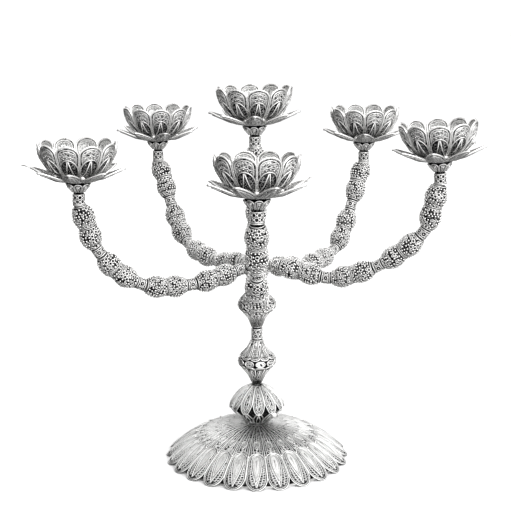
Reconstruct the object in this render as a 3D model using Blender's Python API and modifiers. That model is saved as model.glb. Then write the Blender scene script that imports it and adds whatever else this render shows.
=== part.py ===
"""Six-light tabletop candelabra in silver filigree, in metres, +Z up.

The origin is on the table, on the axis of the centre stem. A pierced dome foot carries a round
knop, two double-cone ornaments and a ball hub on one tie rod. Five arms of soldered double beads
leave the hub and curve up, a sixth straight stem stands on top of it, and each of the six ends in
a calyx. A flower-shaped candle cup on a leafed drip pan lifts off every calyx by its stud.
"""

import math

import bmesh
import bpy
from mathutils import Matrix, Vector

MM = 0.001
GAP = 0.3  # clearance between neighbouring pieces, mm
BEND_GAP = 0.5  # the same along a bent arm, where the square ends lean towards each other

# Base, mm
DOME_R = 73.1
DOME_TOP = 28.5
DOME_POWER = 2.5
DOME_SCALLOPS = 24
SCALLOP_DEPTH = 2.4
DOME_WALL = 1.2
PLATE_R = 67.0
PLATE_T = 1.5
BOSS_R = 6.0
BOSS_TOP = 14.0
ROD_R = 1.6
ROD_HOLE_R = 1.95
HOLE_FLOOR = 3.0

# Stem ornaments: (radius, height) of the outer profile from top to bottom, mm
WALL = 1.3
KNOP_CAP = ((3.6, 59.8), (9.8, 56.9), (14.9, 52.9), (19.0, 47.8), (20.7, 44.9), (21.3, 42.85))
KNOP_BOWL = ((21.3, 42.55), (19.8, 40.2), (16.4, 36.9), (12.2, 32.5), (8.2, 29.3))
LOWER_TOP, LOWER_BELT, LOWER_FOOT = (4.0, 97.3), (14.8, 85.2, 75.8), (3.6, 60.2)
FERRULE = (4.25, 107.2, 97.6)
UPPER_TOP, UPPER_BELT, UPPER_FOOT = (4.3, 143.8), (14.8, 130.9, 121.7), (4.0, 107.5)
BELT_EDGE_R = 12.2
HUB_COLLAR = (4.6, 146.3, 144.1)
HUB_R = 10.15
HUB_Z = 155.8
HUB_FLAT_Z = 146.6
HUB_CROWN_Z = 165.9

# Beaded arms, mm. A link is a collar and the double bead outside it.
COLLAR_R = 4.4
BEAD_END_R = 4.4
BEAD_HALF = ((0.10, 6.2), (0.27, 7.85), (0.50, 6.5))  # (share of the length, radius)
LINKS = ((8.5, 33.0), (8.5, 33.5), (9.0, 34.5), (8.5, 34.5))  # collar, bead, from the hub out
CENTRE_LINKS = ((8.0, 34.0), (8.0, 33.2))
CENTRE_FOOT_Z = 166.3
NECK_R = 4.4
CALYX = ((8.8, -0.5), (8.5, -2.0), (6.5, -4.2), (4.3, -7.1))
NECK_LENGTH = 16.2  # calyx and neck together

# Flower: heights above the top of the calyx, mm
PAN_LEAVES = 8
PAN_PROFILE = ((2.6, 0.9), (9.6, 0.9), (22.5, 4.5), (35.0, 10.4))
PAN_NOTCH = 5.0
CUP_PETALS = 10
CUP_FOOT = ((3.6, 2.2), (3.6, 6.4))
CUP_PROFILE = ((13.6, 7.4), (20.0, 10.9), (25.2, 17.8), (28.0, 29.3))
CUP_NOTCH = 4.5
SHELL = 1.0
STUD_HEAD = (4.6, 9.6, 7.9)
STUD_R = 1.6
STUD_TIP = -11.0
BORE_R = 1.95
BORE_FLOOR = -12.0

# Every arm is bent by hand: azimuth, height of the calyx top, then (radius, height) along its axis
ARMS = {
    "front": (270.0, 235.3, ((10.9, 156.1), (33.4, 150.7), (56.9, 147.3), (88.9, 149.6),
                             (113.3, 163.6), (128.8, 183.8), (134.9, 202.3))),
    "left": (203.2, 232.0, ((10.9, 156.1), (33.4, 150.7), (56.9, 147.3), (88.9, 149.9),
                            (113.0, 164.0), (128.6, 183.4), (134.5, 200.2))),
    "back_left": (127.1, 239.9, ((10.9, 157.2), (23.5, 155.6), (53.6, 151.0), (93.9, 157.7),
                                 (110.1, 172.8), (123.6, 193.3), (131.0, 208.9))),
    "back_right": (49.5, 239.9, ((10.9, 156.2), (33.4, 150.6), (69.5, 146.6), (99.4, 153.2),
                                 (113.5, 169.9), (126.4, 193.9), (132.7, 208.9))),
    "right": (-14.9, 244.0, ((10.9, 160.2), (34.9, 154.8), (59.8, 151.1), (90.3, 160.5),
                             (113.4, 175.5), (129.9, 192.7), (135.0, 210.3))),
}
ARM_HEAD = ((138.7, -20.1), (139.5, -17.0))  # every arm straightens up into its calyx neck
ARM_R = 140.0
CENTRE_TOP = 266.5
CENTRE_LEAN = -1.4  # the centre stem leans this far in X by its neck
LEAN = {"front": 3.6, "right": 4.2, "centre": 1.0}  # degrees that a neck and flower lean inwards
PETAL_TURN = {"front": 18, "left": 29, "back_left": 10, "back_right": 13, "right": -7, "centre": 7}
LEAF_TURN = {"front": 22, "left": 42, "back_left": 15, "back_right": 40, "right": 30, "centre": 0}

TONES = {
    "bead": (0.62, 0.62, 0.60), "calyx": (0.58, 0.58, 0.57), "pan": (0.66, 0.66, 0.64),
    "cup": (0.70, 0.70, 0.68), "stud": (0.50, 0.50, 0.49), "hub": (0.60, 0.60, 0.58),
    "collar": (0.64, 0.63, 0.61), "cone": (0.60, 0.60, 0.59), "belt": (0.56, 0.56, 0.55),
    "ferrule": (0.63, 0.63, 0.61), "knop": (0.59, 0.59, 0.57), "dome": (0.61, 0.61, 0.59),
    "plate": (0.48, 0.48, 0.47), "rod": (0.42, 0.42, 0.41),
}


def clear_scene():
    for obj in list(bpy.data.objects):
        bpy.data.objects.remove(obj, do_unlink=True)


def silver(kind):
    material = bpy.data.materials.get("silver_" + kind)
    if material is None:
        material = bpy.data.materials.new("silver_" + kind)
        material.use_nodes = True
        shader = material.node_tree.nodes["Principled BSDF"]
        shader.inputs["Base Color"].default_value = (*TONES[kind], 1.0)
        shader.inputs["Metallic"].default_value = 1.0
        shader.inputs["Roughness"].default_value = 0.32
    return material


def add(name, kind, data, parent):
    obj = bpy.data.objects.new(name, data)
    data.materials.append(silver(kind))
    COLLECTION.objects.link(obj)
    obj.parent = parent
    return obj


def empty(name, parent=None, location=(0.0, 0.0, 0.0)):
    obj = bpy.data.objects.new(name, None)
    obj.empty_display_size = 0.01
    obj.location = Vector(location) * MM
    obj.parent = parent
    COLLECTION.objects.link(obj)
    return obj


def turned(name, kind, profile, steps, parent, closed=False):
    """A profile of (radius, height) in mm, down its outer side, turned about Z by a Screw."""
    mesh = bpy.data.meshes.new(name)
    points = [(r * MM, 0.0, z * MM) for r, z in profile]
    edges = [(i, i + 1) for i in range(len(points) - 1)]
    if closed:
        edges.append((len(points) - 1, 0))
    mesh.from_pydata(points, edges, [])
    obj = add(name, kind, mesh, parent)
    screw = obj.modifiers.new("Turn", "SCREW")
    screw.axis = "Z"
    screw.steps = steps
    screw.render_steps = steps
    screw.use_merge_vertices = True
    screw.merge_threshold = 0.00001
    screw.use_smooth_shade = True
    return obj


def lobed_shell(name, kind, around, stations, shape, wall, parent):
    """A round shell whose rim follows shape(station, angle), from a grid closed on itself."""
    bm = bmesh.new()
    rows = len(stations)
    bmesh.ops.create_grid(bm, x_segments=around, y_segments=rows - 1, size=0.5)
    for vert in bm.verts:
        angle = (vert.co.x + 0.5) * 2.0 * math.pi
        row = round((vert.co.y + 0.5) * (rows - 1))
        r, z = shape(row, angle)
        vert.co = (r * math.cos(angle) * MM, r * math.sin(angle) * MM, z * MM)
    bmesh.ops.remove_doubles(bm, verts=bm.verts, dist=0.000001)
    bmesh.ops.recalc_face_normals(bm, faces=bm.faces)
    mesh = bpy.data.meshes.new(name)
    bm.to_mesh(mesh)
    bm.free()
    obj = add(name, kind, mesh, parent)
    solid = obj.modifiers.new("Wall", "SOLIDIFY")
    solid.thickness = wall * MM
    solid.offset = 0.0
    solid.use_even_offset = True
    return obj


def catmull(points, per_span):
    """Smooth curve through the stations: centripetal weights keep it free of loops."""
    ends = [points[0] * 2 - points[1]] + list(points) + [points[-1] * 2 - points[-2]]
    curve = []
    for i in range(1, len(ends) - 2):
        p0, p1, p2, p3 = ends[i - 1:i + 3]
        for k in range(per_span):
            t = k / per_span
            curve.append(0.5 * (2 * p1 + (p2 - p0) * t + (2 * p0 - 5 * p1 + 4 * p2 - p3) * t * t
                                + (3 * p1 - p0 - 3 * p2 + p3) * t ** 3))
    curve.append(ends[-2])
    return curve


class Route:
    """A curve that can be read at any distance along it."""

    def __init__(self, points):
        self.points = points
        self.marks = [0.0]
        for a, b in zip(points, points[1:]):
            self.marks.append(self.marks[-1] + (b - a).length)
        self.length = self.marks[-1]

    def at(self, distance):
        distance = min(max(distance, 0.0), self.length)
        for a, b, low, high in zip(self.points, self.points[1:], self.marks, self.marks[1:]):
            if distance <= high:
                return a.lerp(b, (distance - low) / (high - low))
        return self.points[-1]


def swept(name, kind, route, stations, parent):
    """A round bar along the route; each station is (distance along it, radius)."""
    curve = bpy.data.curves.new(name, "CURVE")
    curve.dimensions = "3D"
    curve.bevel_depth = MM
    curve.bevel_resolution = 3
    curve.use_fill_caps = True
    spline = curve.splines.new("POLY")
    spline.points.add(len(stations) - 1)
    for point, (distance, radius) in zip(spline.points, stations):
        point.co = (*(route.at(distance) * MM), 1.0)
        point.radius = radius
    return add(name, kind, curve, parent)


def bead_stations(start, length):
    """Distances and radii of a double bead: two bulges with a waist between them."""
    half = [(0.0, BEAD_END_R)] + list(BEAD_HALF)
    whole = half + [(1.0 - share, radius) for share, radius in reversed(half[:-1])]
    return [(start + share * length, radius) for share, radius in whole]


def beaded(prefix, route, links, parent):
    total = sum(collar + bead for collar, bead in links)
    scale = route.length / total
    start = 0.0
    for number, (collar, bead) in zip(range(len(links), 0, -1), links):
        stations = [(start, COLLAR_R), (start + 1.0, COLLAR_R)]
        stations += bead_stations(start + collar * scale, bead * scale - BEND_GAP)
        swept(f"{prefix}_bead_{number}", "bead", route, stations, parent)
        start += (collar + bead) * scale


def shell_profile(outer, wall, bore):
    """Closed profile of a hollow turned piece: down the outside, back up the inside."""
    inner = [(max(r - wall, bore + 0.6), z) for r, z in outer]
    inner[0] = (inner[0][0], outer[0][1] - wall)
    return list(outer) + inner[:0:-1] + [inner[0], (bore, inner[0][1]), (bore, outer[0][1])]


def flipped(profile):
    """The same profile upside down, still running from top to bottom."""
    return [(r, -z) for r, z in reversed(profile)]


def cone(name, top, bottom, hollow, parent):
    """A slightly concave cone, hollow, whose closed end holds the tie rod's bore."""
    profile = []
    for i in range(4):
        t = i / 3
        sag = hollow * math.sin(math.pi * t)
        profile.append((top[0] + (bottom[0] - top[0]) * t - sag, top[1] + (bottom[1] - top[1]) * t))
    if top[0] < bottom[0]:
        loop = shell_profile(profile, WALL, ROD_HOLE_R)
    else:
        loop = flipped(shell_profile(flipped(profile), WALL, ROD_HOLE_R))
    return turned(name, "cone", loop, 16, parent, closed=True)


def dome_height(radius):
    return DOME_TOP * (1 - (radius / DOME_R) ** DOME_POWER)


def dome_shape(row, angle):
    stations = (ROD_HOLE_R + 0.8, 18.0, 33.0, 48.0, 61.0, DOME_R)
    radius = stations[row]
    if row == len(stations) - 1:
        # the front-most scallop tip stands on the -Y axis
        tip = 0.5 + 0.5 * math.cos(DOME_SCALLOPS * (angle - math.radians(270.0)))
        radius -= SCALLOP_DEPTH * (1 - tip)
        return radius, DOME_WALL / 2 + 1.2 * (1 - tip)
    return radius, dome_height(radius) - DOME_WALL / 2


def pan_shape(row, angle):
    radius, z = PAN_PROFILE[row]
    leaf = abs(math.cos(PAN_LEAVES / 2 * angle))
    if row == len(PAN_PROFILE) - 1:
        radius -= PAN_NOTCH * (1 - leaf)
        z -= 2.0 * (1 - leaf)
    return radius, z


def cup_shape(row, angle):
    radius, z = (CUP_FOOT + CUP_PROFILE)[row]
    if row == len(CUP_FOOT + CUP_PROFILE) - 1:
        petal = 0.5 + 0.5 * math.cos(CUP_PETALS * angle)
        radius -= 1.6 * (1 - petal)
        z -= CUP_NOTCH * (1 - petal)
    return radius, z


def flower(side, azimuth, foot, root):
    """Calyx fixed on its stem; cup, drip pan and stud on the empty that lifts."""
    across = (-math.sin(azimuth), math.cos(azimuth), 0.0)
    lean = Matrix.Rotation(-math.radians(LEAN.get(side, 0.0)), 3, across)
    centre = foot + lean @ Vector((0.0, 0.0, NECK_LENGTH))
    calyx = list(CALYX) + [(NECK_R, -NECK_LENGTH + GAP), (0.0, -NECK_LENGTH + GAP)]
    calyx = [(0.0, BORE_FLOOR), (BORE_R, BORE_FLOOR), (BORE_R, CALYX[0][1])] + calyx
    fixed = turned(f"calyx_{side}", "calyx", calyx, 12, root)
    fixed.location = centre * MM
    fixed.rotation_euler = lean.to_euler()
    lift = empty(f"flower_{side}", root, centre)
    lift.rotation_euler = lean.to_euler()
    pan = lobed_shell(f"drip_pan_{side}", "pan", 4 * PAN_LEAVES, PAN_PROFILE, pan_shape, SHELL, lift)
    pan.rotation_euler.z = math.radians(LEAF_TURN[side])
    cup = lobed_shell(f"candle_cup_{side}", "cup", 2 * CUP_PETALS, CUP_FOOT + CUP_PROFILE,
                      cup_shape, SHELL, lift)
    cup.rotation_euler.z = math.radians(PETAL_TURN[side] - 90.0)
    head_r, head_top, head_foot = STUD_HEAD
    stud = ((0.0, head_top), (head_r, head_top), (head_r, head_foot), (STUD_R, head_foot),
            (STUD_R, STUD_TIP), (0.0, STUD_TIP))
    turned(f"stud_{side}", "stud", stud, 10, lift)


def base(root):
    lobed_shell("base_dome", "dome", 2 * DOME_SCALLOPS, range(6), dome_shape, DOME_WALL, root)
    plate = ((0.0, HOLE_FLOOR), (ROD_HOLE_R, HOLE_FLOOR), (ROD_HOLE_R, BOSS_TOP),
             (BOSS_R, BOSS_TOP), (BOSS_R, PLATE_T), (PLATE_R, PLATE_T), (PLATE_R, 0.0), (0.0, 0.0))
    turned("base_plate", "plate", plate, 36, root)
    rod_top = HUB_Z - GAP
    rod = ((0.0, rod_top), (ROD_R, rod_top), (ROD_R, HOLE_FLOOR + GAP), (0.0, HOLE_FLOOR + GAP))
    turned("tie_rod", "rod", rod, 10, root)


def stem(root):
    cap = shell_profile(KNOP_CAP, WALL, ROD_HOLE_R)
    turned("knop_upper", "knop", cap, 20, root, closed=True)
    bowl = flipped(shell_profile(flipped(KNOP_BOWL), WALL, ROD_HOLE_R))
    turned("knop_lower", "knop", bowl, 20, root, closed=True)
    for level, top, belt, bottom in (("lower", LOWER_TOP, LOWER_BELT, LOWER_FOOT),
                                     ("upper", UPPER_TOP, UPPER_BELT, UPPER_FOOT)):
        cone(f"{level}_cone_top", top, (BELT_EDGE_R, belt[1] + GAP), 0.3, root)
        cone(f"{level}_cone_foot", (BELT_EDGE_R, belt[2] - GAP), bottom, 0.6, root)
        radius, high, low = belt
        band = ((BELT_EDGE_R, high), (radius - 0.6, high - 2.2), (radius, (high + low) / 2),
                (radius - 0.6, low + 2.2), (BELT_EDGE_R, low), (BELT_EDGE_R - 2.0, low),
                (BELT_EDGE_R - 2.0, high))
        turned(f"{level}_belt", "belt", band, 20, root, closed=True)
    for name, kind, (radius, top, bottom) in (("ferrule", "ferrule", FERRULE),
                                              ("hub_collar", "collar", HUB_COLLAR)):
        ring = ((radius, top), (radius, bottom), (ROD_HOLE_R, bottom), (ROD_HOLE_R, top))
        turned(name, kind, ring, 14, root, closed=True)


def hub(root):
    low = math.asin((HUB_FLAT_Z - HUB_Z) / HUB_R)
    high = math.asin((HUB_CROWN_Z - HUB_Z) / HUB_R)
    ball = [(0.0, HUB_CROWN_Z)]
    for i in range(8):
        turn = high + (low - high) * i / 7
        ball.append((HUB_R * math.cos(turn), HUB_Z + HUB_R * math.sin(turn)))
    ball += [(ROD_HOLE_R, HUB_FLAT_Z), (ROD_HOLE_R, HUB_Z), (0.0, HUB_Z)]
    turned("hub", "hub", ball, 16, root)


def arms(root):
    for side, (azimuth, top, stations) in ARMS.items():
        turn = math.radians(azimuth)
        out = Vector((math.cos(turn), math.sin(turn), 0.0))
        stations += tuple((r, top + drop) for r, drop in ARM_HEAD)
        points = [out * r + Vector((0.0, 0.0, z)) for r, z in stations]
        beaded(f"arm_{side}", Route(catmull(points, 12)), LINKS, root)
        foot = out * ARM_R + Vector((0.0, 0.0, top - NECK_LENGTH))
        flower(side, turn, foot, root)
    foot = Vector((0.0, 0.0, CENTRE_FOOT_Z))
    head = Vector((CENTRE_LEAN, 0.0, CENTRE_TOP - NECK_LENGTH))
    beaded("centre", Route([foot, head]), CENTRE_LINKS, root)
    flower("centre", 0.0, head, root)


clear_scene()
COLLECTION = bpy.data.collections.new("tabletop_candelabra")
bpy.context.scene.collection.children.link(COLLECTION)
ROOT = empty("candelabra")
base(ROOT)
stem(ROOT)
hub(ROOT)
arms(ROOT)
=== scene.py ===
import math

import bpy
import numpy as np
from mathutils import Matrix, Vector


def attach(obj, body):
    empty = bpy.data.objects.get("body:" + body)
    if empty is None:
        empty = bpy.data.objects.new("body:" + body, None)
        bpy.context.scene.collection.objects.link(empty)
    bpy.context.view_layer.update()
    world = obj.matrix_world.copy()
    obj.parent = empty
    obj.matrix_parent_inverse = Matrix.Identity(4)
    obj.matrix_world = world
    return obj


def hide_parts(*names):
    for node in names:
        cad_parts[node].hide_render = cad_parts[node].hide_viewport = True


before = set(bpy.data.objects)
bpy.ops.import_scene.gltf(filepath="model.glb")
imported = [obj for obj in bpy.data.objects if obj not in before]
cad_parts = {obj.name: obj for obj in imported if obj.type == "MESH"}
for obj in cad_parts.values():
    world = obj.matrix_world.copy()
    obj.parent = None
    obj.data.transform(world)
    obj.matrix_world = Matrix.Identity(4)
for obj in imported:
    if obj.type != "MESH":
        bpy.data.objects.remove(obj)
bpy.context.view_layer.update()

MM = 0.001
TAU = 2.0 * math.pi
random = np.random.default_rng(41)

# Lengths in the patterns are millimetres. A wire's width and height are half its section.
WIRE, INFILL, GRAIN = 0, 1, 2  # material slots of every filigree mesh


# ===== mesh building

def unit(v):
    return v / np.maximum(np.linalg.norm(v, axis=-1, keepdims=True), 1e-9)


def marks_along(path):
    """Distance from the start of the path to each of its points."""
    return np.concatenate([[0], np.cumsum(np.linalg.norm(np.diff(path, axis=0), axis=1))])


class Web:
    """Wires, thin sheets and grains gathered into one mesh, in millimetres."""

    def __init__(self):
        self.points, self.polish, self.run = [], [], []
        self.corners, self.sizes, self.slots = [], [], []
        self.count = 0

    def add(self, points, faces, slot, polish, run=None):
        points = points.reshape(-1, 3)
        self.points.append(points)
        self.polish.append(np.broadcast_to(polish, len(points)).astype(np.float32).copy())
        self.run.append(np.zeros(len(points), np.float32) if run is None else run.reshape(-1))
        for block in faces:
            self.corners.append((block + self.count).reshape(-1))
            self.sizes.append(np.full(len(block), block.shape[1], np.int32))
            self.slots.append(np.full(len(block), slot, np.int32))
        self.count += len(points)

    def copy_mapped(self, change):
        """The same mesh with every point sent through change(points)."""
        other = Web()
        other.__dict__.update(self.__dict__)
        other.points = [change(np.concatenate(self.points))]
        return other

    def mesh(self, name, materials):
        mesh = bpy.data.meshes.new(name)
        points = np.concatenate(self.points).astype(np.float32) * MM
        corners = np.concatenate(self.corners).astype(np.int32)
        sizes = np.concatenate(self.sizes)
        mesh.vertices.add(len(points))
        mesh.vertices.foreach_set("co", points.reshape(-1))
        mesh.loops.add(len(corners))
        mesh.loops.foreach_set("vertex_index", corners)
        mesh.polygons.add(len(sizes))
        mesh.polygons.foreach_set("loop_start", (np.cumsum(sizes) - sizes).astype(np.int32))
        mesh.polygons.foreach_set("loop_total", sizes)
        mesh.polygons.foreach_set("material_index", np.concatenate(self.slots))
        mesh.polygons.foreach_set("use_smooth", np.ones(len(sizes), bool))
        mesh.update(calc_edges=True)
        for key, values in (("polish", self.polish), ("run", self.run)):
            layer = mesh.attributes.new(key, "FLOAT", "POINT")
            layer.data.foreach_set("value", np.concatenate(values).astype(np.float32))
        for material in materials:
            mesh.materials.append(material)
        return mesh


class Turned:
    """A turned surface: y is the distance in mm along its profile, x the distance round it."""

    def __init__(self, profile, flip=False, smooth=True):
        line = np.array(profile, float)
        if smooth:
            line = rounded(line, 8)
        self.y = marks_along(line)
        self.length = self.y[-1]
        self.line = line
        self.flip = flip
        self.side = -1.0 if flip else 1.0
        along = unit(np.gradient(line, axis=0))
        self.normal = np.stack([along[:, 1], -along[:, 0]], 1) * self.side

    def r(self, y):
        return np.interp(y, self.y, self.line[:, 0])

    def y_at_r(self, r):
        return np.interp(r, self.line[:, 0], self.y)

    def place(self, angle, x, y, h):
        """Points at height h over the surface and their outward normals. Arrays broadcast."""
        r, z = self.r(y), np.interp(y, self.y, self.line[:, 1])
        nr = np.interp(y, self.y, self.normal[:, 0])
        nz = np.interp(y, self.y, self.normal[:, 1])
        beyond = np.maximum(y - self.length, 0.0)  # straight on past the end of the profile
        r = r - nz * self.side * beyond
        z = z + nr * self.side * beyond
        turn = angle + x / np.maximum(r, 0.5)
        c, s = np.cos(turn), np.sin(turn)
        out = r + nr * h
        points = np.stack(np.broadcast_arrays(out * c, out * s, z + nz * h), -1)
        normals = np.stack(np.broadcast_arrays(nr * c, nr * s, nz), -1)
        return points, normals


def rounded(line, per_span):
    """Catmull-Rom curve through the points."""
    ends = np.vstack([2 * line[0] - line[1], line, 2 * line[-1] - line[-2]])
    t = np.linspace(0, 1, per_span, endpoint=False)[:, None]
    parts = []
    for i in range(1, len(ends) - 2):
        a, b, c, d = ends[i - 1:i + 3]
        parts.append(0.5 * (2 * b + (c - a) * t + (2 * a - 5 * b + 4 * c - d) * t ** 2
                            + (3 * b - a - 3 * c + d) * t ** 3))
    return np.vstack(parts + [ends[-2:-1]])


def sweep(web, points, normals, width, height, sides, closed, both):
    """A wire with an oval section along each row of points, shape (copies, n, 3).

    It is rubbed bright on its outer side, or on its inner side too where both is set.
    """
    copies, n, _ = points.shape
    if closed:
        along = np.roll(points, -1, 1) - np.roll(points, 1, 1)
    else:
        along = np.gradient(points, axis=1)
    along = unit(along)
    side = unit(np.cross(along, normals))
    up = np.cross(side, along)
    turn = (np.arange(sides) + 0.5) * TAU / sides
    cos, sin = np.cos(turn)[:, None], np.sin(turn)[:, None]
    ring = points[:, :, None] + side[:, :, None] * width * cos + up[:, :, None] * height * sin
    lit = np.abs(np.sin(turn)) if both else 0.5 + 0.5 * np.sin(turn)
    polish = np.broadcast_to(lit, (copies, n, sides)).reshape(-1)
    step = np.linalg.norm(np.diff(points, axis=1), axis=2)
    run = np.concatenate([np.zeros((copies, 1)), np.cumsum(step, 1)], 1)
    run = np.broadcast_to(run[:, :, None], (copies, n, sides))
    rows = n if closed else n - 1
    i = np.arange(rows)[:, None]
    j = np.arange(sides)[None]
    a, b = i * sides, ((i + 1) % n) * sides
    k = (j + 1) % sides
    quads = np.stack([a + j, b + j, b + k, a + k], -1).reshape(-1, 4)
    start = (np.arange(copies) * n * sides)[:, None, None]
    faces = [(quads[None] + start).reshape(-1, 4)]
    if not closed:
        first = np.arange(sides)[None] + start[:, 0]
        last = (np.arange(sides)[::-1] + (n - 1) * sides)[None] + start[:, 0]
        faces.append(np.concatenate([first, last]))
    web.add(ring, faces, WIRE, polish, run.astype(np.float32))


def wire(web, surface, angles, path, width, height, sides=5, closed=False, lift=None, h=0.0,
         both=False):
    """Lays a path of (x, y) mm on the surface, once at each angle."""
    x, y = path[:, 0], path[:, 1]
    rise = h + (lift(x, y) if lift else 0.0)
    points, normals = surface.place(np.asarray(angles, float)[:, None], x, y, rise)
    sweep(web, points, normals, width, height, sides, closed, both)


def sheet(web, surface, angles, half, y0, y1, nx, ny, thick, lift=None, h=0.0, *, polish):
    """A thin closed leaf of metal between x = -half(y) and half(y).

    polish is a number or a function of x and y, or two of them for the front and the back.
    """
    y = np.linspace(y0, y1, ny)[:, None]
    u = np.linspace(-1, 1, nx)[None]
    x = u * np.maximum(half(y), 0.02)
    y = np.broadcast_to(y, x.shape)
    rise = h + (lift(x, y) if lift else 0.0)
    turn = np.asarray(angles, float)[:, None, None]
    front, _ = surface.place(turn, x, y, rise + thick / 2)
    back, _ = surface.place(turn, x, y, rise - thick / 2)
    points = np.stack([front, back], 1)
    faces = polish if isinstance(polish, tuple) else (polish, polish)
    shades = [np.broadcast_to(face(x, y) if callable(face) else face, x.shape) for face in faces]
    polish = np.tile(np.stack(shades), (len(turn), 1, 1, 1)).reshape(-1)
    closed_shell(web, points, len(turn), nx, ny, False, polish, surface.flip)


def closed_shell(web, points, copies, nx, ny, wrap, polish, flip):
    """Faces for front and back grids of ny by nx points, and for the rims between them."""
    cell = np.arange(ny * nx).reshape(ny, nx)
    if wrap:
        cell = np.hstack([cell, cell[:, :1]])
    a, b, c, d = cell[:-1, :-1], cell[:-1, 1:], cell[1:, 1:], cell[1:, :-1]
    front = np.stack([a, b, c, d], -1).reshape(-1, 4)
    deep = ny * nx
    back = front[:, ::-1] + deep
    rims = [cell[0, ::-1], cell[-1]]
    if not wrap:
        rims += [cell[:, 0], cell[::-1, -1]]
    walls = [np.stack([r[:-1], r[1:], r[1:] + deep, r[:-1] + deep], -1)[:, ::-1] for r in rims]
    faces = np.concatenate([front, back] + walls)
    if flip:
        faces = faces[:, ::-1]
    start = (np.arange(copies) * 2 * deep)[:, None, None]
    web.add(points, [(faces[None] + start).reshape(-1, 4)], INFILL, polish)


def liner(web, surface, y0, y1, h, thick, nx, ny, polish):
    """A thin closed skin all the way round, behind the open wirework. With a low polish it is dark:
    painted shade for the hollow seen through the holes.
    """
    y = np.linspace(y0, y1, ny)[:, None]
    turn = (np.arange(nx) * TAU / nx)[None]
    front, _ = surface.place(turn, 0.0, y, h + thick / 2)
    back, _ = surface.place(turn, 0.0, y, h - thick / 2)
    closed_shell(web, np.stack([front, back]), 1, nx, ny, True, polish, surface.flip)


def ball(level):
    """Icosphere points and faces."""
    p = (1 + math.sqrt(5)) / 2
    v = unit(np.array([(-1, p, 0), (1, p, 0), (-1, -p, 0), (1, -p, 0), (0, -1, p), (0, 1, p),
                       (0, -1, -p), (0, 1, -p), (p, 0, -1), (p, 0, 1), (-p, 0, -1), (-p, 0, 1)], float))
    f = [(0, 11, 5), (0, 5, 1), (0, 1, 7), (0, 7, 10), (0, 10, 11), (1, 5, 9), (5, 11, 4),
         (11, 10, 2), (10, 7, 6), (7, 1, 8), (3, 9, 4), (3, 4, 2), (3, 2, 6), (3, 6, 8), (3, 8, 9),
         (4, 9, 5), (2, 4, 11), (6, 2, 10), (8, 6, 7), (9, 8, 1)]
    points = list(v)
    for _ in range(level):
        made, middle = [], {}
        for a, b, c in f:
            mids = []
            for s, t in ((a, b), (b, c), (c, a)):
                key = (min(s, t), max(s, t))
                if key not in middle:
                    middle[key] = len(points)
                    points.append(unit(points[s] + points[t]))
                mids.append(middle[key])
            made += [(a, mids[0], mids[2]), (b, mids[1], mids[0]), (c, mids[2], mids[1]), tuple(mids)]
        f = made
    return np.array(points), np.array(f)


BALLS = {level: ball(level) for level in (0, 1, 2)}


def grains(web, surface, angles, spots, radius, lift=None, h=0.0, level=0):
    """Solid grains at (x, y) spots on the surface, at each angle."""
    shape, faces = BALLS[level]
    spots = np.array(spots, float)
    rise = h + (lift(spots[:, 0], spots[:, 1]) if lift else 0.0)
    points, _ = surface.place(np.asarray(angles, float)[:, None], spots[:, 0], spots[:, 1], rise)
    points = points.reshape(-1, 1, 3)
    start = (np.arange(len(points)) * len(shape))[:, None, None]
    web.add(points + shape[None] * radius, [(faces[None] + start).reshape(-1, 3)], GRAIN, 0.95)


# ===== filigree patterns

LOOP_POINTS, LOOP_OVERLAP = 6, 0.55  # a coil's loops
WAVE_POINTS = 4  # a zigzag's waves


def turns(count, start=0.0):
    """Evenly spaced angles round the axis."""
    return start + np.arange(count) * TAU / count


def sample(path, marks, want):
    """The path's points at the wanted distances."""
    return np.stack([np.interp(want, marks, column) for column in path.T], 1)


def resample(path, count):
    marks = marks_along(path)
    return sample(path, marks, np.linspace(0, marks[-1], count))


def petal(half, y0, ys, y1, inset=0.0, side=7, head=15):
    """Open outline from its left foot at y0, round the head from ys to y1, to its right foot."""
    y = np.linspace(y0, ys, side)
    edge = half(y) - inset
    turn = np.linspace(math.pi, 0, head)
    top = np.stack([edge[-1] * np.cos(turn), ys + (y1 - inset - ys) * np.sin(turn)], 1)
    return np.vstack([np.stack([-edge, y], 1)[:-1], top, np.stack([edge, y], 1)[::-1][1:]])


def petal_half(half, ys, y1, inset=0.0):
    """Half width of that outline at any y."""
    def at(y):
        beyond = np.clip((y - ys) / (y1 - inset - ys), 0.0, 1.0)
        return (half(np.minimum(y, ys)) - inset) * np.sqrt(1 - beyond ** 2)
    return at


def drop(y, wide, tall, point_up, count, power):
    """Closed teardrop with its round head at one end."""
    t = np.linspace(0, TAU, count, endpoint=False)
    px = wide * np.sin(t) * np.abs(np.sin(t / 2)) ** power
    py = tall * np.cos(t)
    return np.stack([px, y + (py if point_up else -py)], 1)


def ring(y, radius, count, tall=None):
    t = turns(count)
    return np.stack([radius * np.cos(t), y + (tall or radius) * np.sin(t)], 1)


def spiral(y, radius, winds, start, count):
    """An open scroll that closes in to its eye."""
    t = np.linspace(0, 1, count)
    reach = radius * (1 - 0.85 * t)
    turn = start + t * winds * TAU
    return np.stack([reach * np.cos(turn), y + reach * np.sin(turn)], 1)


def coil(guide, pitch, amp):
    """A springy row of little loops along the guide."""
    loops = max(int(round(marks_along(guide)[-1] / pitch)), 1)
    base = resample(guide, loops * LOOP_POINTS + 1)
    along = unit(np.gradient(base, axis=0))
    across = np.stack([-along[:, 1], along[:, 0]], 1)
    turn = (np.arange(len(base)) * TAU / LOOP_POINTS)[:, None]
    return base + across * amp * np.cos(turn) + along * pitch * LOOP_OVERLAP * np.sin(turn)


def zigzag(a, b, count):
    """A rounded zigzag that runs between two guides."""
    n = count * WAVE_POINTS + 1
    a, b = resample(a, n), resample(b, n)
    mix = (0.5 + 0.5 * np.cos(np.arange(n) * TAU / WAVE_POINTS))[:, None]
    return a * (1 - mix) + b * mix


def line(*points):
    return np.array(points, float)


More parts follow.
